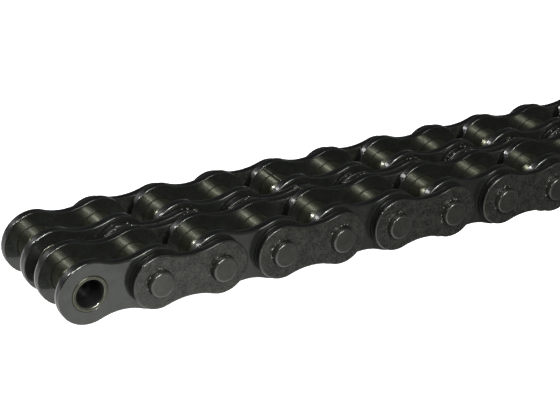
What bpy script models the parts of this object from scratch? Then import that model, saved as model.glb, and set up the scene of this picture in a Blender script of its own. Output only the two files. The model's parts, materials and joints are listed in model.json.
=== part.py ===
"""Two-strand rollerless steel chain, 3/8 inch pitch (ANSI 35-2, ISO 06C-2), eleven links long.

The chain lies straight along X with its pins along Y and its plates standing on the ground.
Units are metres, +Z is up, and the origin is on the ground under the middle of the chain.
Odd links are inner links: each strand has two plates pressed on two bushes.
Even links are outer links: two pins riveted through two outer and two middle plates.
"""
import math

import bmesh
import bpy

# ---- Driving dimensions ----
MM = 0.001
LINKS = 11                      # odd, so that both ends are inner links
STRANDS = (("front", -1), ("rear", 1))
PITCH = 9.525 * MM
INNER_WIDTH = 4.78 * MM         # between the two inner plates of a strand
PLATE_THICKNESS = 1.25 * MM
LOBE_GAP = 0.525 * MM           # between neighbouring inner plates in a row, along the chain
OUTER_PLATE_SETBACK = 0.6 * MM  # an outer plate's edge inside an inner plate's
INNER_WAIST_DEPTH = 0.95 * MM   # a waist's edge below the lobes beside it
OUTER_WAIST_DEPTH = 0.85 * MM
BUSH_DIAMETER = 5.08 * MM
BUSH_PROTRUSION = 0.09 * MM     # bush end past the inner plate's face
BUSH_CHAMFER = 0.2 * MM
PIN_DIAMETER = 3.59 * MM
PIN_PROTRUSION = 0.82 * MM      # pin end past the outer plate's face
PIN_CHAMFER = 0.25 * MM
# named clearances
SEAT_GAP = 0.02 * MM            # radial, pressed seats
RUNNING_GAP = 0.015 * MM        # radial, pin in bush
SIDE_GAP = 0.04 * MM            # bush end to outer or middle plate
MIDDLE_GAP = 0.09 * MM          # between the two middle plates
ROUND_SEGMENTS = 16
LOBE_SEGMENTS = 8               # over the half turn from a lobe's lowest point to its highest
WAIST_SEGMENTS = 3
# the links whose pressed pieces are one solid, which keeps the chain to sixty pieces
JOINED_INNER_LINKS = (7, 9)
JOINED_OUTER_LINKS = (8, 10)

# ---- Dimensions that follow ----
LENGTH = LINKS * PITCH
INNER_PLATE_HEIGHT = PITCH - LOBE_GAP
OUTER_PLATE_HEIGHT = INNER_PLATE_HEIGHT - 2 * OUTER_PLATE_SETBACK
PITCH_LINE = INNER_PLATE_HEIGHT / 2
BUSH_BORE = PIN_DIAMETER + 2 * RUNNING_GAP
BUSH_LENGTH = INNER_WIDTH + 2 * (PLATE_THICKNESS + BUSH_PROTRUSION)
# plate centres, from the middle of their strand
INNER_PLATE_CENTRE = (INNER_WIDTH + PLATE_THICKNESS) / 2
OUTER_PLATE_CENTRE = BUSH_LENGTH / 2 + SIDE_GAP + PLATE_THICKNESS / 2
TRANSVERSE_PITCH = 2 * OUTER_PLATE_CENTRE + PLATE_THICKNESS + MIDDLE_GAP
PIN_LENGTH = TRANSVERSE_PITCH + 2 * OUTER_PLATE_CENTRE + PLATE_THICKNESS + 2 * PIN_PROTRUSION
# a hole's flats touch its true circle, and a shaft's corners lie on its own
HOLE_GROWTH = 1 / math.cos(math.pi / ROUND_SEGMENTS)

STEEL_COLOURS = {
    "inner_plate": (0.085, 0.085, 0.08, 1.0),
    "outer_plate": (0.05, 0.05, 0.047, 1.0),
    "bush": (0.16, 0.14, 0.11, 1.0),
    "pin": (0.12, 0.12, 0.115, 1.0),
}
STEEL_ROUGHNESS = {"inner_plate": 0.4, "outer_plate": 0.38, "bush": 0.3, "pin": 0.28}


def clear_scene():
    """Remove every object the file starts with."""
    for obj in list(bpy.data.objects):
        bpy.data.objects.remove(obj, do_unlink=True)


def collection(name):
    """A new collection under the scene's own."""
    group = bpy.data.collections.new(name)
    bpy.context.scene.collection.children.link(group)
    return group


def steel(name, kind):
    """Oiled dark steel for one piece."""
    material = bpy.data.materials.new(name + "_steel")
    material.use_nodes = True
    shader = material.node_tree.nodes["Principled BSDF"]
    shader.inputs["Base Color"].default_value = STEEL_COLOURS[kind]
    shader.inputs["Metallic"].default_value = 0.9
    shader.inputs["Roughness"].default_value = STEEL_ROUGHNESS[kind]
    return material


# ---- Outlines and profiles ----
def circle(radius, centre_x=0.0):
    """Points round a circle, the first at +X of its centre."""
    steps = [2 * math.pi * i / ROUND_SEGMENTS for i in range(ROUND_SEGMENTS)]
    return [(centre_x + radius * math.cos(a), radius * math.sin(a)) for a in steps]


def plate_outline(height, waist_depth):
    """A figure-eight plate: a round lobe about each pin, joined by hollow waists."""
    lobe = height / 2
    waist = lobe - waist_depth
    half_pitch = PITCH / 2
    # the waist's circle touches both lobes and passes the middle at the waist height
    hollow = (half_pitch**2 + waist**2 - lobe**2) / (2 * waist_depth)
    hollow_centre = waist + hollow
    meet = math.atan2(hollow_centre, -half_pitch)
    half_turn = [math.pi * (i / LOBE_SEGMENTS - 0.5) for i in range(LOBE_SEGMENTS + 1)]
    points = []
    for a in [-meet] + half_turn + [meet]:
        points.append((half_pitch + lobe * math.cos(a), lobe * math.sin(a)))
    edge = math.atan2(hollow_centre - lobe * math.sin(meet), half_pitch + lobe * math.cos(meet))
    for i in range(1, WAIST_SEGMENTS):
        a = edge + (math.pi - 2 * edge) * i / WAIST_SEGMENTS
        points.append((hollow * math.cos(a), hollow_centre - hollow * math.sin(a)))
    # the other half is the same, turned half a turn about the plate's middle
    return points + [(-x, -y) for x, y in points]


def flat_piece(name, outlines, thickness):
    """A plate from its outline and holes: a filled 2D curve, extruded and made a mesh."""
    curve = bpy.data.curves.new(name, "CURVE")
    curve.dimensions = "2D"
    curve.fill_mode = "BOTH"
    curve.extrude = thickness / 2
    for outline in outlines:
        spline = curve.splines.new("POLY")
        spline.points.add(len(outline) - 1)
        for point, (x, y) in zip(spline.points, outline):
            point.co = (x, y, 0, 1)
        spline.use_cyclic_u = True
    source = bpy.data.objects.new(name + "_curve", curve)
    bpy.context.scene.collection.objects.link(source)
    evaluated = source.evaluated_get(bpy.context.evaluated_depsgraph_get())
    mesh = bpy.data.meshes.new_from_object(evaluated)
    bpy.data.objects.remove(source)
    shape = bmesh.new()
    shape.from_mesh(mesh)
    bmesh.ops.remove_doubles(shape, verts=shape.verts, dist=0.001 * MM)
    bmesh.ops.recalc_face_normals(shape, faces=shape.faces)
    shape.to_mesh(mesh)
    shape.free()
    mesh.name = name
    return mesh


def turned_piece(name, profile, closed):
    """A turned piece about Z from (radius, height) points that run down its outer side."""
    mesh = bpy.data.meshes.new(name)
    points = [(r, 0, z) for r, z in profile]
    edges = [(i, i + 1) for i in range(len(points) - 1)]
    if closed:
        edges.append((len(points) - 1, 0))
    mesh.from_pydata(points, edges, [])
    source = bpy.data.objects.new(name + "_profile", mesh)
    bpy.context.scene.collection.objects.link(source)
    screw = source.modifiers.new("turn", "SCREW")
    screw.steps = ROUND_SEGMENTS
    screw.render_steps = ROUND_SEGMENTS
    screw.use_merge_vertices = True
    screw.merge_threshold = 0.001 * MM
    evaluated = source.evaluated_get(bpy.context.evaluated_depsgraph_get())
    turned = bpy.data.meshes.new_from_object(evaluated)
    bpy.data.objects.remove(source)
    turned.name = name
    return turned


def pin_profile(radius, length, chamfer):
    """Half the section of a solid shaft with chamfered ends, from its top centre down."""
    end = length / 2
    upper = [(0, end), (radius - chamfer, end), (radius, end - chamfer)]
    return upper + [(r, -z) for r, z in reversed(upper)]


def rod_profile(radius, length):
    """Half the section of a plain rod, from its top centre down."""
    end = length / 2
    return [(0, end), (radius, end), (radius, -end), (0, -end)]


def bush_profile(radius, bore, length, chamfer):
    """The section of a bush's wall: down the outside, then up the bore."""
    end = length / 2
    outside = [(radius, end), (radius, -end)]
    mouth = bore + chamfer
    inside = [(mouth, -end), (bore, chamfer - end), (bore, end - chamfer), (mouth, end)]
    return outside + inside


# ---- Placing ----
def pin_x(number):
    """X of pin number 0 (free left end) to LINKS (free right end)."""
    return number * PITCH - LENGTH / 2


def add_piece(name, mesh, kind, parent, y, x, group):
    """A piece on its link's empty, its own Z turned along the pins."""
    obj = bpy.data.objects.new(name, mesh)
    obj.parent = parent
    obj.location = (x, y, 0)
    obj.rotation_euler = (math.radians(90), 0, 0)
    obj.data.materials.clear()
    obj.data.materials.append(steel(name, kind))
    group.objects.link(obj)
    return obj


def link_axis(link, group):
    """The empty that carries a link, on the axis of the pin at the link's inboard end."""
    middle = (LINKS + 1) // 2
    number = link if link < middle else link - 1
    empty = bpy.data.objects.new(f"link_{link:02d}_axis", None)
    empty.location = (pin_x(number), 0, PITCH_LINE)
    empty.empty_display_size = PITCH
    group.objects.link(empty)
    return empty, pin_x(link - 1) - pin_x(number) + PITCH / 2


def smooth_round(obj):
    """Shade the turned faces smooth and keep the ends crisp."""
    obj.data.shade_smooth()
    obj.data.set_sharp_from_angle(angle=math.radians(30))


def inner_plate_mesh(name):
    hole = BUSH_DIAMETER / 2 + SEAT_GAP
    outline = plate_outline(INNER_PLATE_HEIGHT, INNER_WAIST_DEPTH)
    holes = [circle(hole, side * PITCH / 2) for side in (-1, 1)]
    return flat_piece(name, [outline] + holes, PLATE_THICKNESS)


def outer_plate_mesh(name):
    hole = PIN_DIAMETER / 2 + SEAT_GAP
    outline = plate_outline(OUTER_PLATE_HEIGHT, OUTER_WAIST_DEPTH)
    holes = [circle(hole, side * PITCH / 2) for side in (-1, 1)]
    return flat_piece(name, [outline] + holes, PLATE_THICKNESS)


def bush_mesh(name):
    bore = BUSH_BORE / 2 * HOLE_GROWTH
    profile = bush_profile(BUSH_DIAMETER / 2, bore, BUSH_LENGTH, BUSH_CHAMFER)
    return turned_piece(name, profile, closed=True)


def pin_mesh(name):
    return turned_piece(name, pin_profile(PIN_DIAMETER / 2, PIN_LENGTH, PIN_CHAMFER), closed=False)


def inner_link(link, group):
    """Both strands of an inner link: two plates on two bushes each."""
    empty, centre = link_axis(link, group)
    for strand, side in STRANDS:
        strand_y = side * TRANSVERSE_PITCH / 2
        for face, way in (("front", -1), ("rear", 1)):
            name = f"link_{link:02d}_{strand}_strand_inner_plate_{face}"
            y = strand_y + way * INNER_PLATE_CENTRE
            add_piece(name, inner_plate_mesh(name), "inner_plate", empty, y, centre, group)
        for end, way in (("left", -1), ("right", 1)):
            name = f"link_{link:02d}_{strand}_strand_bush_{end}"
            x = centre + way * PITCH / 2
            bush = add_piece(name, bush_mesh(name), "bush", empty, strand_y, x, group)
            smooth_round(bush)


def outer_link(link, group):
    """An outer link: two outer plates, two middle plates between the strands, two pins."""
    empty, centre = link_axis(link, group)
    for strand, side in STRANDS:
        for kind, way in (("outer", 1), ("middle", -1)):
            name = f"link_{link:02d}_{kind}_plate_{strand}"
            y = side * (TRANSVERSE_PITCH / 2 + way * OUTER_PLATE_CENTRE)
            add_piece(name, outer_plate_mesh(name), "outer_plate", empty, y, centre, group)
    for end, way in (("left", -1), ("right", 1)):
        name = f"link_{link:02d}_pin_{end}"
        pin = add_piece(name, pin_mesh(name), "pin", empty, 0, centre + way * PITCH / 2, group)
        smooth_round(pin)


# ---- Joined links ----
def boolean(obj, tool, operation):
    """Add a Boolean of obj with tool, and mark tool as a cutter."""
    cut = obj.modifiers.new(tool.name, "BOOLEAN")
    cut.operation = operation
    cut.solver = "MANIFOLD"     # walls this thin leave open edges under EXACT
    cut.object = tool
    tool.hide_render = True
    tool.display_type = "WIRE"


def joined_inner_strand(name, side, empty, centre, group, cutters):
    """One strand of an inner link as a single solid, bored for its pins."""
    strand_y = side * TRANSVERSE_PITCH / 2
    outline = plate_outline(INNER_PLATE_HEIGHT, INNER_WAIST_DEPTH)
    plates = []
    for way in (-1, 1):
        mesh = flat_piece(f"{name}_plate", [outline], PLATE_THICKNESS)
        y = strand_y + way * INNER_PLATE_CENTRE
        owner, label = (group, name) if way < 0 else (cutters, f"{name}_other_plate")
        plates.append(add_piece(label, mesh, "inner_plate", empty, y, centre, owner))
    bores = []
    for end in (-1, 1):
        x = centre + end * PITCH / 2
        wall = turned_piece(f"{name}_bush", rod_profile(BUSH_DIAMETER / 2, BUSH_LENGTH), False)
        bush = add_piece(f"{name}_bush_{end}", wall, "bush", empty, strand_y, x, cutters)
        boolean(plates[0], bush, "UNION")
        bore_radius = BUSH_BORE / 2 * HOLE_GROWTH
        hole = turned_piece(f"{name}_bore", rod_profile(bore_radius, 1.5 * BUSH_LENGTH), False)
        bores.append(add_piece(f"{name}_bore_{end}", hole, "bush", empty, strand_y, x, cutters))
    boolean(plates[0], plates[1], "UNION")
    for bore in bores:
        boolean(plates[0], bore, "DIFFERENCE")


def joined_outer_plates(link, empty, centre, group, cutters):
    """The pins of an outer link with its two middle plates, as a single solid."""
    name = f"link_{link:02d}_pins_and_middle_plates"
    outline = plate_outline(OUTER_PLATE_HEIGHT, OUTER_WAIST_DEPTH)
    span = 2 * (TRANSVERSE_PITCH / 2 - OUTER_PLATE_CENTRE) + PLATE_THICKNESS
    mesh = flat_piece(name, [outline], span)
    plates = add_piece(name, mesh, "outer_plate", empty, 0, centre, group)
    for end, way in (("left", -1), ("right", 1)):
        tool_name = f"{name}_{end}"
        x = centre + way * PITCH / 2
        pin = add_piece(tool_name, pin_mesh(tool_name), "pin", empty, 0, x, cutters)
        boolean(plates, pin, "UNION")
    for strand, side in STRANDS:
        label = f"link_{link:02d}_outer_plate_{strand}"
        y = side * (TRANSVERSE_PITCH / 2 + OUTER_PLATE_CENTRE)
        add_piece(label, outer_plate_mesh(label), "outer_plate", empty, y, centre, group)


def joined_link(link, group, cutters):
    """A far link with its pressed pieces joined."""
    empty, centre = link_axis(link, group)
    if link in JOINED_INNER_LINKS:
        for strand, side in STRANDS:
            name = f"link_{link:02d}_{strand}_strand_inner_link"
            joined_inner_strand(name, side, empty, centre, group, cutters)
    else:
        joined_outer_plates(link, empty, centre, group, cutters)


def build_chain():
    clear_scene()
    chain = collection("roller_chain")
    cutters = collection("cutters")
    for link in range(1, LINKS + 1):
        if link in JOINED_INNER_LINKS + JOINED_OUTER_LINKS:
            joined_link(link, chain, cutters)
        elif link % 2:
            inner_link(link, chain)
        else:
            outer_link(link, chain)


build_chain()
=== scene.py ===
"""Looks of a two-strand bushed steel chain: stamped plates, curled bushes, riveted pins, dark oil.

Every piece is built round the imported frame: pin axes come from the joints, sizes from the nodes.
Lengths are in metres, written as millimetres times MM. +X runs along the chain, +Y across it from
the front strand to the rear one, and +Z up.
"""
import json
import math
import random

import bmesh
import bpy
from mathutils import Matrix, Vector


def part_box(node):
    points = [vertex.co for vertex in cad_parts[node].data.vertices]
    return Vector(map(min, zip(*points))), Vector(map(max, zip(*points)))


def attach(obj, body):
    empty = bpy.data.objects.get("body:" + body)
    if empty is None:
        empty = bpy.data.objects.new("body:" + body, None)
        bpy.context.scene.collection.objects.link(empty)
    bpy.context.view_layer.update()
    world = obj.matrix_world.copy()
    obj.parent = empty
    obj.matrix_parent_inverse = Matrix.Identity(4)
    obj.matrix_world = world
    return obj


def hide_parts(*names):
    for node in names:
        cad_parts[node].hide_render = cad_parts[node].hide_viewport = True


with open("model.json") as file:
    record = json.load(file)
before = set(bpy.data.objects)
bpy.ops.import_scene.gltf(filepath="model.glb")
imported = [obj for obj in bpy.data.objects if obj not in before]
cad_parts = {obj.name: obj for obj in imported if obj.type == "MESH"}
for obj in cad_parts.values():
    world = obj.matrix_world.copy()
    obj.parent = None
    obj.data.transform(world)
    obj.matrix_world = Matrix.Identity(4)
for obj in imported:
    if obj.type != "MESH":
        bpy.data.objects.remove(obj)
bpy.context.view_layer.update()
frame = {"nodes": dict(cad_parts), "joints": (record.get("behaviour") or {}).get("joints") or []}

MM = 0.001

# ---- Sizes read from the frame ----
PIN_AXES = [Vector(joint["pos_m"]) for joint in frame["joints"]]
PITCH = PIN_AXES[1].x - PIN_AXES[0].x
PITCH_LINE = PIN_AXES[0].z
LINKS = len(PIN_AXES) + 1
STRANDS = ("front", "rear")
ENDS = ("left", "right")


def node_size(node):
    low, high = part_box(node)
    return high - low


def node_centre(node):
    low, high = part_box(node)
    return (low + high) / 2


INNER_PLATE = node_size("link_01_front_strand_inner_plate_front")
OUTER_PLATE = node_size("link_02_outer_plate_front")
BUSH = node_size("link_01_front_strand_bush_left")
PIN = node_size("link_02_pin_left")
PLATE_THICKNESS = INNER_PLATE.y
INNER_LOBE = INNER_PLATE.z / 2
OUTER_LOBE = OUTER_PLATE.z / 2
BUSH_RADIUS = BUSH.z / 2
PIN_RADIUS = PIN.z / 2

# ---- Sizes of the fine shapes ----
INNER_WAIST_DEPTH = 0.95 * MM
OUTER_WAIST_DEPTH = 0.85 * MM
ROLLED_EDGE = 0.17 * MM       # round edge on a plate's punch side
BROKEN_EDGE = 0.08 * MM       # smaller round on its die side
TEAR_TAPER = 0.035 * MM       # the torn half of a stamped wall leans in by this much
FEATHER = 0.12 * MM           # wear fades over this much of a face
EDGE_FADE = 0.75              # share of an edge's wear that is lost where its round meets the wall
TEAR_START = 1.6              # the torn wall starts this many front rounds behind the front face
TEAR_END = 0.3                # and has leaned halfway in at this share of the half thickness
SEAT_GAP = 0.035 * MM         # between a plate's hole and what is pressed through it
HOLE_EDGE = 0.06 * MM         # round edge of a plate's hole
BORE_RADIUS = 1.81 * MM
MOUTH_RADIUS = 2.06 * MM      # a bush's bore opens out to this at its ends
MOUTH_DEPTH = 0.6 * MM
MOUTH_LIP = (                 # (radius beyond the mouth's, depth, wear and painted shade) from its end face inwards
    (0.05 * MM, 0.0, -0.25),
    (0.01 * MM, 0.02 * MM, 0.7),
    (-0.03 * MM, 0.09 * MM, 0.7),
    (-0.08 * MM, 0.2 * MM, -1.0),
)
BUSH_EDGE = 0.1 * MM          # round edge on a bush's outside
BUSH_END_RING = 0.03 * MM     # the plain ring of its end face starts this far inside that round
END_RING_WEAR = -0.25
SEAM_WIDTH = 0.07 * MM
SEAM_DEPTH = 0.16 * MM
INNER_SEAM = 0.6              # the seam's depth inside the bore, as a share of SEAM_DEPTH
PIN_RIM = 0.2 * MM            # rolled round on a pin's end
PIN_RIM_WEAR = 0.9
PIN_RIM_FADE = 0.7
PIN_FACE = (0.35, 0.8)        # rings on a pin's end face, as shares of its radius
PIN_SHANK = (0.5 * MM, 1.4 * MM)    # rings on its shank, from the end
LOBE_STEPS = 40
WAIST_STEPS = 10
HOLE_STEPS = 48
TURN_STEPS = 72
ROUND_STEPS = 4

# ---- Oil beads ----
BEAD_PROFILE = ((-0.15, 1.0), (0.1, 0.97), (0.35, 0.75), (0.5, 0.4))    # (height, width) per radius
BEAD_STEPS = 10
FACE_BEADS = 9                # round each end of a pin, on the outer plate's face
FACE_ANGLES = (70, 220)
FACE_REACH = (0.05, 0.4)      # mm outside the pin
FACE_SIZES = (0.08, 0.24)     # mm of radius
TOP_BEADS = 22                # over the middle plates' rims at each pin
TOP_ANGLES = (40, 165)
TOP_SPREAD = 0.85             # share of the middle plates' joint thickness that they lie on
TOP_SIZES = (0.08, 0.26)
TOP_SUNK = 0.02 * MM


# ---- Mesh building ----
class Shape:
    """A mesh in the making, whose vertices carry their wear, their painted shade and where they lie.

    Wear and shade is 1 where an edge is rubbed bright, 0 on a plain face and -1 on a wall torn in
    stamping and in a bush's bore, where the material paints shade as a darker colour.
    """

    def __init__(self):
        self.mesh = bmesh.new()
        self.wear_and_shade = self.mesh.verts.layers.float.new("wear_and_shade")

    def ring(self, points, wear_and_shade):
        """A closed loop of vertices."""
        loop = [self.mesh.verts.new(p) for p in points]
        for vertex in loop:
            vertex[self.wear_and_shade] = wear_and_shade
        return loop

    def join(self, first, second):
        """A band of faces between two loops of as many vertices."""
        count = len(first)
        for i in range(count):
            j = (i + 1) % count
            self.mesh.faces.new((first[i], first[j], second[j], second[i]))

    def bands(self, loops, closed=False):
        pairs = list(zip(loops, loops[1:]))
        if closed:
            pairs.append((loops[-1], loops[0]))
        for first, second in pairs:
            self.join(first, second)

    def fill(self, loops):
        """A flat face that has the first loop round it and the others as holes."""
        edges = []
        for loop in loops:
            for i, vertex in enumerate(loop):
                edges.append(self.mesh.edges.get((vertex, loop[(i + 1) % len(loop)])))
        bmesh.ops.triangle_fill(self.mesh, use_beauty=True, edges=edges)

    def finish(self, name, place, material, body, node, slot):
        """Make the object, put it in place and let it ride on its body."""
        bmesh.ops.recalc_face_normals(self.mesh, faces=self.mesh.faces)
        where = self.mesh.verts.layers.float_vector.new("place")
        for vertex in self.mesh.verts:
            vertex[where] = (vertex.co + place) / MM
        data = bpy.data.meshes.new(name)
        self.mesh.to_mesh(data)
        self.mesh.free()
        data.shade_smooth()
        data.materials.append(material)
        piece = bpy.data.objects.new(name, data)
        piece.location = place
        bpy.context.scene.collection.objects.link(piece)
        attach(piece, body)
        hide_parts(node)
        return piece


def quarter_round(radius, steps=ROUND_STEPS):
    """(inset, depth) pairs over a round edge, from the flat face to the wall."""
    turns = [math.pi / 2 * i / steps for i in range(steps + 1)]
    return [(radius * (1 - math.sin(a)), radius * (1 - math.cos(a))) for a in turns]


def plate_outline(lobe, waist_depth):
    """Points and outward normals round a figure-eight plate about its middle, as (x, z)."""
    waist = lobe - waist_depth
    half_pitch = PITCH / 2
    hollow = (half_pitch**2 + waist**2 - lobe**2) / (2 * waist_depth)
    hollow_centre = waist + hollow
    meet = math.atan2(hollow_centre, -half_pitch)
    half = []
    for i in range(LOBE_STEPS + 1):
        a = meet * (2 * i / LOBE_STEPS - 1)
        normal = (math.cos(a), math.sin(a))
        half.append(((half_pitch + lobe * normal[0], lobe * normal[1]), normal))
    edge = math.atan2(hollow_centre - lobe * math.sin(meet), half_pitch + lobe * math.cos(meet))
    for i in range(1, WAIST_STEPS):
        a = edge + (math.pi - 2 * edge) * i / WAIST_STEPS
        normal = (-math.cos(a), math.sin(a))
        half.append(((-hollow * normal[0], hollow_centre - hollow * normal[1]), normal))
    return half + [((-x, -z), (-u, -w)) for (x, z), (u, w) in half]


def hole_outline(radius, centre_x):
    """Points and normals round a hole; the normals point into its metal's opening."""
    turns = [2 * math.pi * i / HOLE_STEPS for i in range(HOLE_STEPS)]
    normals = [(-math.cos(a), -math.sin(a)) for a in turns]
    return [((centre_x - radius * u, -radius * w), (u, w)) for u, w in normals]


def wall_section(thickness, front_round, rear_round, taper, feather):
    """(inset, y, wear and painted shade) down a plate's wall from its front face to its rear face."""
    half = thickness / 2
    section = [(front_round + feather, -half, 0.0)]
    for inset, depth in quarter_round(front_round):
        section.append((inset, depth - half, 1.0 - EDGE_FADE * depth / front_round))
    # The torn band is marked -1: rougher and less oily, and painted darker as painted shade on the
    # wall.
    section.append((0.0, TEAR_START * front_round - half, -1.0))
    section.append((taper * 0.5, TEAR_END * half, -1.0))
    for inset, depth in reversed(quarter_round(rear_round)):
        section.append((inset + taper, half - depth, 1.0 - EDGE_FADE * depth / rear_round))
    section.append((rear_round + taper + feather, half, 0.0))
    return section


def plate(name, place, lobe, waist_depth, hole, front_round, rear_round, **finish):
    """A stamped plate with rounded edges and two holes."""
    shape = Shape()
    front, rear = [], []
    outlines = [(plate_outline(lobe, waist_depth), front_round, rear_round, TEAR_TAPER, FEATHER)]
    for side in (-1, 1):
        rim = hole_outline(hole, side * PITCH / 2)
        outlines.append((rim, HOLE_EDGE, HOLE_EDGE, 0.0, FEATHER / 2))
    for outline, near, far, taper, feather in outlines:
        loops = []
        for inset, y, wear_and_shade in wall_section(PLATE_THICKNESS, near, far, taper, feather):
            points = [(x - u * inset, y, z - w * inset) for (x, z), (u, w) in outline]
            loops.append(shape.ring(points, wear_and_shade))
        shape.bands(loops)
        front.append(loops[0])
        rear.append(loops[-1])
    shape.fill(front)
    shape.fill(rear)
    return shape.finish(name, place, **finish)


def turned(shape, section, turns, radius_change=None):
    """Loops round Y from (radius, y, wear and painted shade, outer) points; radius_change takes a
    turn and outer.
    """
    loops = []
    for radius, y, wear_and_shade, outer in section:
        points = []
        for a in turns:
            r = radius + (radius_change(a, outer) if radius_change else 0.0)
            points.append((r * math.cos(a), y, r * math.sin(a)))
        loops.append(shape.ring(points, wear_and_shade))
    return loops


def bush(name, place, seam, **finish):
    """A curled bush: a tube with rounded ends and the seam where its sheet meets."""
    half = BUSH.y / 2
    section = []
    for end in (-1, 1):
        run = [(BUSH_RADIUS, end * half * 0.6, 0.0, 1)]
        for inset, depth in reversed(quarter_round(BUSH_EDGE)):
            run.append((BUSH_RADIUS - inset, end * (half - depth), 0.0, 1))
        run.append((BUSH_RADIUS - BUSH_EDGE - BUSH_END_RING, end * half, END_RING_WEAR, 1))
        for wider, depth, wear_and_shade in MOUTH_LIP:
            run.append((MOUTH_RADIUS + wider, end * (half - depth), wear_and_shade, 0))
        # The bore is marked -1, which paints shade into it as a darker colour.
        run.append((BORE_RADIUS, end * (half - MOUTH_DEPTH), -1.0, 0))
        run.append((BORE_RADIUS, end * half * 0.5, -1.0, 0))
        section.append(run)
    loop = section[0] + section[1][::-1]
    half_seam = SEAM_WIDTH / BUSH_RADIUS        # as an angle
    turns = [seam + half_seam * k for k in (-1, -0.5, 0, 0.5)]
    turns += [seam + half_seam + (2 * math.pi - 2 * half_seam) * i / TURN_STEPS
              for i in range(TURN_STEPS)]

    def notch(a, outer):
        near = max(0.0, 1 - abs(a - seam) / half_seam)
        return (-SEAM_DEPTH if outer else SEAM_DEPTH * INNER_SEAM) * near

    shape = Shape()
    shape.bands(turned(shape, loop, turns, notch), closed=True)
    return shape.finish(name, place, **finish)


def pin(name, place, **finish):
    """A riveted pin: a straight shank whose ends are flat faces with a rolled rim."""
    half = PIN.y / 2
    section = []
    for end in (-1, 1):
        head = [(share * PIN_RADIUS, end * half, 0.0, 1) for share in PIN_FACE]
        for inset, depth in quarter_round(PIN_RIM):
            wear_and_shade = PIN_RIM_WEAR - PIN_RIM_FADE * depth / PIN_RIM
            head.append((PIN_RADIUS - inset, end * (half - depth), wear_and_shade, 1))
        for depth in PIN_SHANK:
            head.append((PIN_RADIUS, end * (half - depth), 0.0, 1))
        section.append(head)
    turns = [2 * math.pi * i / TURN_STEPS for i in range(TURN_STEPS)]
    shape = Shape()
    loops = turned(shape, section[0] + section[1][::-1], turns)
    shape.bands(loops)
    for loop in (loops[0], loops[-1]):
        shape.mesh.faces.new(loop)
    return shape.finish(name, place, **finish)


# ---- Materials ----
class Graph:
    """Short calls for building a material's nodes."""

    def __init__(self, name):
        self.material = bpy.data.materials.new(name)
        self.material.use_nodes = True
        self.tree = self.material.node_tree
        self.shader = self.tree.nodes["Principled BSDF"]

    def set(self, **values):
        for name, value in values.items():
            self.shader.inputs[name.replace("_", " ")].default_value = value

    def link(self, output, target):
        self.tree.links.new(output, target)

    def attribute(self, name):
        node = self.tree.nodes.new("ShaderNodeAttribute")
        node.attribute_name = name
        return node

    def noise(self, vector, scale, detail=3.0, rough=0.55, distortion=0.0):
        node = self.tree.nodes.new("ShaderNodeTexNoise")
        node.inputs["Scale"].default_value = scale
        node.inputs["Detail"].default_value = detail
        node.inputs["Roughness"].default_value = rough
        node.inputs["Distortion"].default_value = distortion
        self.link(vector, node.inputs["Vector"])
        return node.outputs["Fac"]

    def remap(self, value, low, high, to_low, to_high):
        node = self.tree.nodes.new("ShaderNodeMapRange")
        for socket, number in zip(list(node.inputs)[1:5], (low, high, to_low, to_high)):
            socket.default_value = number
        self.link(value, node.inputs[0])
        return node.outputs[0]

    def math(self, operation, first, second):
        node = self.tree.nodes.new("ShaderNodeMath")
        node.operation = operation
        for socket, value in zip(node.inputs, (first, second)):
            if isinstance(value, (int, float)):
                socket.default_value = value
            else:
                self.link(value, socket)
        return node.outputs[0]

    def mix(self, amount, first, second):
        node = self.tree.nodes.new("ShaderNodeMix")
        node.data_type = "RGBA"
        self.link(amount, node.inputs["Factor"])
        for socket, value in ((node.inputs[6], first), (node.inputs[7], second)):
            if isinstance(value, tuple):
                socket.default_value = (*value, 1.0)
            else:
                self.link(value, socket)
        return node.outputs[2]

    def bump(self, height, strength, distance):
        node = self.tree.nodes.new("ShaderNodeBump")
        node.inputs["Strength"].default_value = strength
        node.inputs["Distance"].default_value = distance
        self.link(height, node.inputs["Height"])
        return node.outputs["Normal"]


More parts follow.
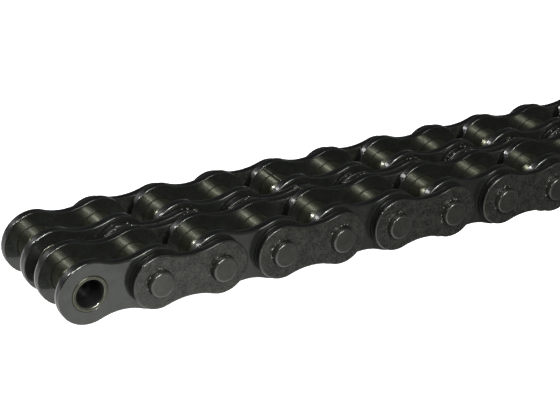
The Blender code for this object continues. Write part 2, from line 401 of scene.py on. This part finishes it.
def oiled_steel(name, dark, light, rim, rough, coat, grain, metallic=0.7):
    """Blackened steel under oil: mottled from dark to light, with worn edges in the rim colour, and
    painted shade as a darker grey on torn walls and in bores, which are also rougher and less oily.

    Coat is how much oil lies on a plain face; grain is how strong the fine specks are.
    """
    g = Graph(name)
    place = g.attribute("place").outputs["Vector"]
    wear_and_shade = g.attribute("wear_and_shade").outputs["Fac"]
    mottle = g.noise(place, 0.7, 5.0, 0.6)
    specks = g.noise(place, 4.5, 4.0, 0.7)
    film = g.noise(place, 0.45, 2.0, 0.5, 0.6)
    both = g.math("ADD", mottle, g.math("MULTIPLY", specks, 0.9 * grain))
    middle_value = 0.5 + 0.45 * grain
    patches = g.remap(both, middle_value - 0.25, middle_value + 0.25, 0.0, 1.0)
    edge = g.math("MAXIMUM", wear_and_shade, 0.0)
    torn_and_shade = g.math("MAXIMUM", g.math("MULTIPLY", wear_and_shade, -1.0), 0.0)
    rubbed = g.math("MULTIPLY", edge, g.remap(mottle, 0.35, 0.6, 0.45, 1.0))
    plain = g.mix(patches, dark, light)
    # Painted shade: torn walls and bores are mixed towards this darker grey; the bush end rings go a
    # quarter of the way, as a darker tone.
    torn_and_shade_dark = (0.45 * dark[1],) * 3
    colour = g.mix(rubbed, g.mix(torn_and_shade, plain, torn_and_shade_dark), rim)
    g.link(colour, g.shader.inputs["Base Color"])
    flat = g.math("ADD", g.remap(film, 0.3, 0.7, rough * 0.8, rough * 1.2),
                  g.remap(specks, 0.3, 0.7, -0.05 * grain, 0.05 * grain))
    gloss = g.math("SUBTRACT", flat, g.math("MULTIPLY", edge, rough * 0.5))
    g.link(g.math("ADD", gloss, g.math("MULTIPLY", torn_and_shade, 0.2)), g.shader.inputs["Roughness"])
    thin_oil = g.math("MAXIMUM", torn_and_shade, g.math("MULTIPLY", edge, 0.4))
    g.link(g.remap(thin_oil, 0.0, 1.0, coat, coat * 0.15), g.shader.inputs["Coat Weight"])
    relief = g.math("ADD", g.math("MULTIPLY", specks, 0.35 * grain), mottle)
    g.link(g.bump(relief, 0.3, 0.02 * MM), g.shader.inputs["Normal"])
    g.set(Metallic=metallic, Coat_Roughness=0.06, Coat_IOR=1.47)
    return g.material


def oil(name):
    """Beads of dark chain oil: almost black, very glossy, a little uneven."""
    g = Graph(name)
    cloud = g.noise(g.attribute("place").outputs["Vector"], 3.0, 2.0)
    colour = g.mix(cloud, (0.012, 0.012, 0.008), (0.035, 0.032, 0.02))
    g.link(colour, g.shader.inputs["Base Color"])
    g.link(g.remap(cloud, 0.3, 0.7, 0.05, 0.12), g.shader.inputs["Roughness"])
    g.set(IOR=1.47, Coat_Weight=0.6, Coat_Roughness=0.04)
    return g.material


PLATE_RIM = (0.050, 0.052, 0.045)
FINISHES = {
    "inner_plate_steel": oiled_steel(
        "inner_plate_steel", dark=(0.028, 0.0305, 0.0255), light=(0.048, 0.051, 0.044),
        rim=PLATE_RIM, rough=0.24, coat=0.8, grain=0.9, metallic=0.8),
    "outer_plate_steel": oiled_steel(
        "outer_plate_steel", dark=(0.014, 0.0155, 0.012), light=(0.055, 0.057, 0.047),
        rim=PLATE_RIM, rough=0.34, coat=0.35, grain=2.2),
    "bush_steel": oiled_steel(
        "bush_steel", dark=(0.060, 0.061, 0.042), light=(0.125, 0.126, 0.088),
        rim=(0.26, 0.26, 0.25), rough=0.31, coat=0.25, grain=0.8, metallic=0.88),
    "pin_steel": oiled_steel(
        "pin_steel", dark=(0.026, 0.0275, 0.022), light=(0.052, 0.053, 0.044),
        rim=(0.075, 0.077, 0.068), rough=0.3, coat=0.5, grain=1.4),
    "oil": oil("oil"),
}


# ---- The chain ----
def pin_x(number):
    """X of an axis: 1 to LINKS - 1 are the pins', 0 and LINKS the free end bushes'."""
    return PIN_AXES[0].x + (number - 1) * PITCH


def middle(link):
    return (pin_x(link - 1) + pin_x(link)) / 2


def node_of(link, *names):
    """The CAD node that holds a piece: its own, or the one its strand is joined in."""
    for name in names:
        node = f"link_{link:02d}_{name}"
        if node in frame["nodes"]:
            return node
    raise ValueError(f"link {link} has none of {names}")


def finish_of(link, finish, *names):
    """The oil beads have a look of their own and no slot in the record."""
    slot = None if finish == "oil" else finish
    body = f"link_{link:02d}"
    return {"material": FINISHES[finish], "slot": slot, "body": body, "node": node_of(link, *names)}


STRAND_Y = {s: node_centre(f"link_01_{s}_strand_bush_left").y for s in STRANDS}
INNER_OFFSET = STRAND_Y["front"] - node_centre("link_01_front_strand_inner_plate_front").y
OUTER_Y = node_centre("link_02_outer_plate_rear").y
MIDDLE_Y = node_centre("link_02_middle_plate_rear").y
CHANCE = random.Random(7)
SHOWING_SEAM = ("rear", 5, "left")      # strand, link and end of the one bush whose seam faces up
SHOWING_ANGLE = 105
HIDDEN_ANGLES = (190, 350)


def build_inner_link(link):
    """Two strands, each of two plates on two bushes."""
    x = middle(link)
    for strand in STRANDS:
        y = STRAND_Y[strand]
        joined = f"{strand}_strand_inner_link"
        for face, way in zip(STRANDS, (-1, 1)):
            rounds = (ROLLED_EDGE, BROKEN_EDGE)[::-way]
            plate(
                f"link_{link:02d}_{strand}_strand_stamped_plate_{face}",
                Vector((x, y + way * INNER_OFFSET, PITCH_LINE)),
                INNER_LOBE, INNER_WAIST_DEPTH, BUSH_RADIUS + SEAT_GAP, *rounds,
                **finish_of(link, "inner_plate_steel", f"{strand}_strand_inner_plate_{face}", joined),
            )
        for end, way in zip(ENDS, (-1, 1)):
            hidden_seam = math.radians(CHANCE.uniform(*HIDDEN_ANGLES))
            showing = (strand, link, end) == SHOWING_SEAM
            bush(
                f"link_{link:02d}_{strand}_strand_curled_bush_{end}",
                Vector((x + way * PITCH / 2, y, PITCH_LINE)),
                math.radians(SHOWING_ANGLE) if showing else hidden_seam,
                **finish_of(link, "bush_steel", f"{strand}_strand_bush_{end}", joined),
            )


def build_outer_link(link):
    """Two outer plates, two middle plates between the strands, and two pins through all four."""
    x = middle(link)
    joined = "pins_and_middle_plates"
    for kind, offset in (("outer", OUTER_Y), ("middle", MIDDLE_Y)):
        for strand, way in zip(STRANDS, (-1, 1)):
            rounds = (ROLLED_EDGE, BROKEN_EDGE)[::-way]
            plate(
                f"link_{link:02d}_stamped_{kind}_plate_{strand}",
                Vector((x, way * offset, PITCH_LINE)),
                OUTER_LOBE, OUTER_WAIST_DEPTH, PIN_RADIUS + SEAT_GAP, *rounds,
                **finish_of(link, "outer_plate_steel", f"{kind}_plate_{strand}", joined),
            )
    for end, way in zip(ENDS, (-1, 1)):
        pin(
            f"link_{link:02d}_riveted_pin_{end}",
            Vector((x + way * PITCH / 2, 0, PITCH_LINE)),
            **finish_of(link, "pin_steel", f"pin_{end}", joined),
        )


def add_bead(shape, centre, normal, radius):
    """Half a flattened ball of oil that sits on a face at centre."""
    turn = Vector((0, 0, 1)).rotation_difference(normal).to_matrix()
    loops = []
    for height, width in BEAD_PROFILE:
        points = []
        for i in range(BEAD_STEPS):
            a = 2 * math.pi * i / BEAD_STEPS
            flat = Vector((width * math.cos(a), width * math.sin(a), height)) * radius
            points.append(centre + turn @ flat)
        loops.append(shape.ring(points, 0.0))
    shape.bands(loops)
    shape.mesh.faces.new(loops[0])
    shape.mesh.faces.new(loops[-1])


def oil_beads(link):
    """Oil left round an outer link's pins, on its outer faces and over its middle plates."""
    shape = Shape()
    outside = OUTER_Y + PLATE_THICKNESS / 2
    for end in (-1, 1):
        pin_place = end * PITCH / 2
        for way in (-1, 1):
            for _ in range(FACE_BEADS):
                a = math.radians(CHANCE.uniform(*FACE_ANGLES))
                reach = PIN_RADIUS + CHANCE.uniform(*FACE_REACH) * MM
                spot = Vector((pin_place + reach * math.cos(a), way * outside, reach * math.sin(a)))
                add_bead(shape, spot, Vector((0, way, 0)), CHANCE.uniform(*FACE_SIZES) * MM)
        for _ in range(TOP_BEADS):
            a = math.radians(CHANCE.uniform(*TOP_ANGLES))
            y = CHANCE.uniform(-TOP_SPREAD, TOP_SPREAD) * (MIDDLE_Y + PLATE_THICKNESS / 2)
            out = Vector((math.cos(a), 0, math.sin(a)))
            spot = Vector((pin_place, y, 0)) + out * (OUTER_LOBE - TOP_SUNK)
            add_bead(shape, spot, out, CHANCE.uniform(*TOP_SIZES) * MM)
    shape.finish(f"link_{link:02d}_oil_beads", Vector((middle(link), 0, PITCH_LINE)),
                 **finish_of(link, "oil", "pin_left", "pins_and_middle_plates"))


for number in range(1, LINKS + 1):
    if number % 2:
        build_inner_link(number)
    else:
        build_outer_link(number)
        oil_beads(number)


# ---- Camera ----
CAMERA_AZIMUTH = math.radians(-33.96)
CAMERA_ELEVATION = math.radians(25.9)
CAMERA_ROLL = math.radians(3.54)
CAMERA_DISTANCE = 269.4 * MM
CAMERA_TARGET = Vector((pin_x(0) + 35.19 * MM, 1.35 * MM, PITCH_LINE))
LENS = 122.7                  # millimetres, as Blender's camera takes it
SENSOR_WIDTH = 36
NEAREST = 0.01


def add_camera():
    data = bpy.data.cameras.new("camera")
    data.lens = LENS
    data.sensor_width = SENSOR_WIDTH
    data.clip_start = NEAREST
    camera = bpy.data.objects.new("camera", data)
    bpy.context.scene.collection.objects.link(camera)
    flat = math.cos(CAMERA_ELEVATION)
    back = Vector((math.sin(CAMERA_AZIMUTH) * flat, -math.cos(CAMERA_AZIMUTH) * flat,
                   math.sin(CAMERA_ELEVATION)))
    right = (-back).cross(Vector((0, 0, 1))).normalized()
    up = right.cross(-back)
    axes = Matrix((right, up, back)).transposed().to_4x4()
    roll = Matrix.Rotation(CAMERA_ROLL, 4, "Z")
    camera.matrix_world = Matrix.Translation(CAMERA_TARGET + back * CAMERA_DISTANCE) @ axes @ roll
    bpy.context.scene.camera = camera


# ---- Stage and light ----
FLOOR_DROP = 45 * MM          # the chain hangs clear, so that it can curl either way
FLOOR_HALF = 3.0
FLOOR_GLOW = 0.85             # what the camera sees of it, beside the light that falls on it
PAPER = ((0.84, 0.84, 0.83), (0.88, 0.88, 0.87))
FIBRE_SCALE = 900.0
FRONT_LIGHT = (0.14, 1.22)    # what the chain gets from the floor before it, weakest and strongest
FRONT_FADE = (83 * MM, -4 * MM)         # the x of each
FRONT_FADE_POWER = 2.5
REAR_LIGHT = (0.45, 1.5)      # the same from the floor behind it
REAR_FADE = (50 * MM, -100 * MM)
REAR_START = (0.0, 40 * MM)   # the y over which the rear light sets in

DIM_SKY = (0.9, 0.95, 1.0, 1)
DIM_SKY_STRENGTH = 0.08
PALE_SKY = (0.95, 0.95, 0.95, 1)

TOWARD_KEY = (-0.42, 0.75, 0.48)
TOWARD_FRONT = (-0.05, -0.746, 0.62)
LAMP_PLACE = Vector((pin_x(0) - 45 * MM, -55 * MM, 85 * MM))


def floor_paper():
    """White paper that seems evenly lit, and whose light on the chain fades towards the right."""
    g = Graph("floor_paper")
    new = g.tree.nodes.new
    coordinates = new("ShaderNodeTexCoord").outputs["Object"]
    g.link(g.mix(g.noise(coordinates, FIBRE_SCALE, 4.0), *PAPER), g.shader.inputs["Base Color"])
    g.set(Roughness=0.9)
    glow = new("ShaderNodeEmission")
    glow.inputs["Strength"].default_value = FLOOR_GLOW
    seen = new("ShaderNodeAddShader")
    g.link(glow.outputs[0], seen.inputs[0])
    g.link(g.shader.outputs[0], seen.inputs[1])
    split = new("ShaderNodeSeparateXYZ")
    g.link(coordinates, split.inputs[0])
    x, y = split.outputs["X"], split.outputs["Y"]
    near = g.remap(x, *FRONT_FADE, 0.0, 1.0)
    before = g.remap(g.math("POWER", near, FRONT_FADE_POWER), 0.0, 1.0, *FRONT_LIGHT)
    rearward = g.remap(y, *REAR_START, 0.0, 1.0)
    behind = g.math("MULTIPLY", rearward, g.remap(x, *REAR_FADE, *REAR_LIGHT))
    lit = new("ShaderNodeEmission")
    g.link(g.math("MAXIMUM", before, behind), lit.inputs["Strength"])
    path = new("ShaderNodeLightPath")
    mix = new("ShaderNodeMixShader")
    for socket, output in enumerate((path.outputs["Is Camera Ray"], lit.outputs[0], seen.outputs[0])):
        g.link(output, mix.inputs[socket])
    g.link(mix.outputs[0], g.tree.nodes["Material Output"].inputs["Surface"])
    return g.material


def add_floor():
    data = bpy.data.meshes.new("floor")
    shape = bmesh.new()
    bmesh.ops.create_grid(shape, x_segments=1, y_segments=1, size=FLOOR_HALF)
    shape.to_mesh(data)
    shape.free()
    floor = bpy.data.objects.new("floor", data)
    floor.location.z = -FLOOR_DROP
    bpy.context.scene.collection.objects.link(floor)
    data.materials.append(floor_paper())


def add_sun(name, toward, strength, angle):
    """A distant light seen in the direction toward, as wide as angle in degrees."""
    data = bpy.data.lights.new(name, "SUN")
    data.energy = strength
    data.angle = math.radians(angle)
    light = bpy.data.objects.new(name, data)
    light.rotation_euler = Vector(toward).to_track_quat("Z", "Y").to_euler()
    bpy.context.scene.collection.objects.link(light)


def add_lamp(name, place, size, power):
    """A small square soft light that faces the chain's left end."""
    data = bpy.data.lights.new(name, "AREA")
    data.energy = power
    data.size = size
    light = bpy.data.objects.new(name, data)
    light.location = place
    toward = Vector((pin_x(1), 0, PITCH_LINE)) - light.location
    light.rotation_euler = toward.to_track_quat("-Z", "Y").to_euler()
    bpy.context.scene.collection.objects.link(light)


def add_world():
    """A dim grey-blue surround for the chain, and a pale one for the camera."""
    world = bpy.data.worlds.new("studio")
    world.use_nodes = True
    nodes = world.node_tree.nodes
    links = world.node_tree.links
    dim = nodes["Background"]
    dim.inputs["Color"].default_value = DIM_SKY
    dim.inputs["Strength"].default_value = DIM_SKY_STRENGTH
    pale = nodes.new("ShaderNodeBackground")
    pale.inputs["Color"].default_value = PALE_SKY
    pale.inputs["Strength"].default_value = 1.0
    path = nodes.new("ShaderNodeLightPath")
    mix = nodes.new("ShaderNodeMixShader")
    links.new(path.outputs["Is Camera Ray"], mix.inputs[0])
    links.new(dim.outputs[0], mix.inputs[1])
    links.new(pale.outputs[0], mix.inputs[2])
    links.new(mix.outputs[0], nodes["World Output"].inputs["Surface"])
    bpy.context.scene.world = world


add_floor()
add_world()
add_sun("key", TOWARD_KEY, 1.0, 8)
add_sun("front", TOWARD_FRONT, 2.9, 40)
add_sun("front_core", TOWARD_FRONT, 1.7, 11)
add_lamp("lamp", LAMP_PLACE, 14 * MM, 0.05)
add_camera()
bpy.context.scene.view_settings.view_transform = "Standard"
